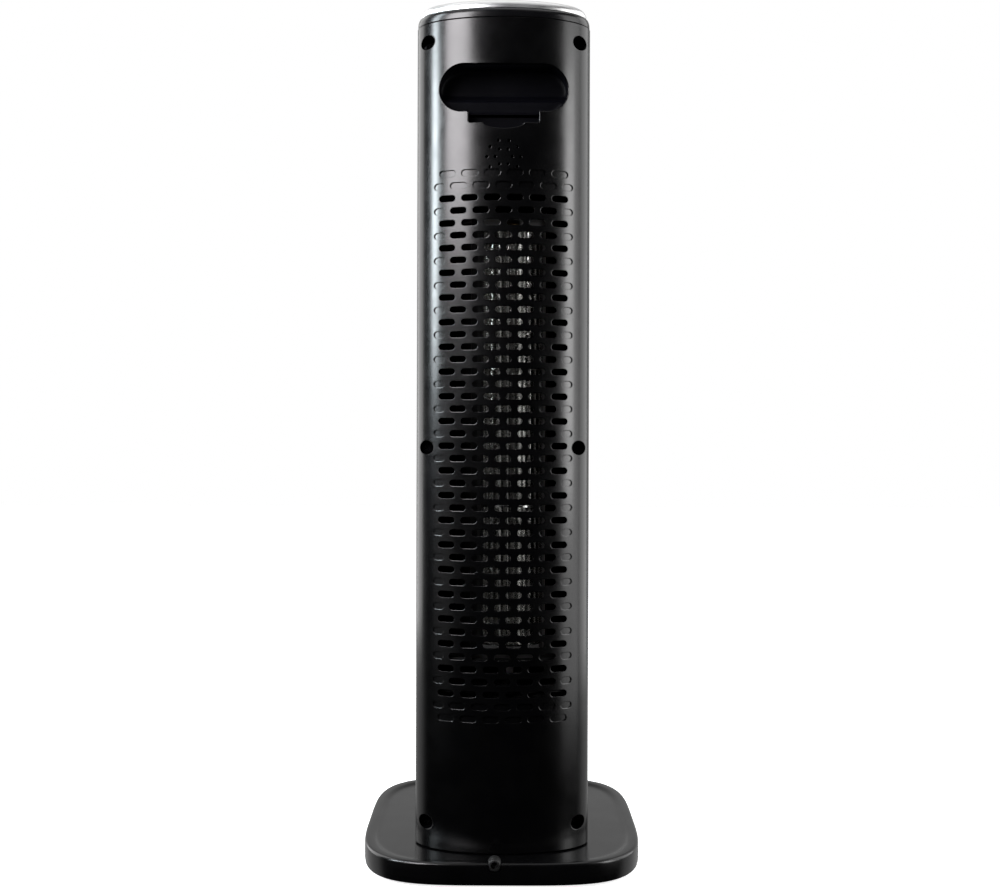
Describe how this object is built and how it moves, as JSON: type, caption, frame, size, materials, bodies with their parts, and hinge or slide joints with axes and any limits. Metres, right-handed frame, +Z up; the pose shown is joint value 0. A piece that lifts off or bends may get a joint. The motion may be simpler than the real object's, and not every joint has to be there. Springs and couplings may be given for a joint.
{
  "type": "tower fan",
  "caption": "Slim tower fan on a low square-round base: a swinging column with slotted rear intake, handle recess, remote dock, cross-flow impeller and top push buttons.",
  "frame": {"origin": "middle of the base's footprint, on the surface the fan stands on", "axes": "+Z up; the air outlet faces -Y; the intake grille, handle recess and cord gland face +Y; +X is the fan's left as seen from the rear"},
  "size_m": [0.218, 0.241, 0.6667],
  "materials": {
    "casing_black": "satin black moulded ABS with a fine texture",
    "panel_black": "gloss black moulding",
    "base_black": "semi-gloss black moulding",
    "inner_black": "plain black moulding, not polished",
    "trim_silver": "satin silver plated ring",
    "steel": "zinc-plated steel",
    "ballast": "raw iron",
    "rubber": "soft black rubber",
    "acetal": "natural acetal",
    "impeller_grey": "thin grey metal blades",
    "board": "green circuit board",
    "bronze": "sintered bronze",
    "lens": "smoked clear plastic",
    "capacitor": "dark moulded case"
  },
  "bodies": {
    "base": {"base_cover": "base_black", "base_plate": "steel", "base_weight": "ballast", "cord_gland": "rubber", "pivot_post": "acetal", "swivel_washer": "acetal", "fixed_gear": "acetal", "foot_1": "rubber", "foot_2": "rubber", "foot_3": "rubber", "foot_4": "rubber", "base_screw_1": "steel", "base_screw_2": "steel", "base_screw_3": "steel", "base_screw_4": "steel"},
    "column": {"column_floor": "inner_black", "pivot_bush": "bronze", "swing_motor": "steel", "rear_casing": "casing_black", "front_casing": "casing_black", "front_grille": "casing_black", "handle_pocket": "inner_black", "remote_dock": "inner_black", "buzzer": "inner_black", "scroll_housing": "inner_black", "tongue_plate": "inner_black", "lower_end_plate": "inner_black", "upper_end_plate": "inner_black", "bearing_bush": "bronze", "fan_motor": "steel", "motor_plate": "steel", "motor_capacitor": "capacitor", "power_board": "board", "top_cap": "panel_black", "trim_ring": "trim_silver", "control_panel": "panel_black", "display_lens": "lens", "control_board": "board", "casing_screw_1": "steel", "casing_screw_2": "steel", "casing_screw_3": "steel", "casing_screw_4": "steel", "casing_screw_5": "steel", "casing_screw_6": "steel"},
    "impeller_body": {"impeller": "impeller_grey", "motor_shaft": "steel", "impeller_stub": "steel"},
    "pinion_body": {"swing_pinion": "acetal", "pinion_shaft": "steel"},
    "button_power_body": {"button_power": "panel_black"},
    "button_speed_body": {"button_speed": "panel_black"},
    "button_mode_body": {"button_mode": "panel_black"},
    "button_timer_body": {"button_timer": "panel_black"},
    "button_swing_body": {"button_swing": "panel_black"}
  },
  "joints": [
    {"name": "column_swing", "type": "hinge", "parent": "base", "child": "column", "pos_m": [0, 0.0605, 0.02], "axis": [0, 0, 1], "range_deg": [-35, 35]},
    {"name": "impeller_spin", "type": "hinge", "parent": "column", "child": "impeller_body", "pos_m": [-0.006, 0.0555, 0.3], "axis": [0, 0, 1], "continuous": true},
    {"name": "pinion_spin", "type": "hinge", "parent": "column", "child": "pinion_body", "pos_m": [0, 0.0413, 0.025], "axis": [0, 0, 1], "range_deg": [-110, 110]},
    {"name": "button_power_press", "type": "slide", "parent": "column", "child": "button_power_body", "axis": [0, 0, -1], "range_m": [0, 0.0012], "stiffness_N_per_m": 300},
    {"name": "button_speed_press", "type": "slide", "parent": "column", "child": "button_speed_body", "axis": [0, 0, -1], "range_m": [0, 0.0012], "stiffness_N_per_m": 300},
    {"name": "button_mode_press", "type": "slide", "parent": "column", "child": "button_mode_body", "axis": [0, 0, -1], "range_m": [0, 0.0012], "stiffness_N_per_m": 300},
    {"name": "button_timer_press", "type": "slide", "parent": "column", "child": "button_timer_body", "axis": [0, 0, -1], "range_m": [0, 0.0012], "stiffness_N_per_m": 300},
    {"name": "button_swing_press", "type": "slide", "parent": "column", "child": "button_swing_body", "axis": [0, 0, -1], "range_m": [0, 0.0012], "stiffness_N_per_m": 300}
  ],
  "couplings": [
    {"joint": "pinion_spin", "follows": "column_swing", "ratio": 3}
  ]
}
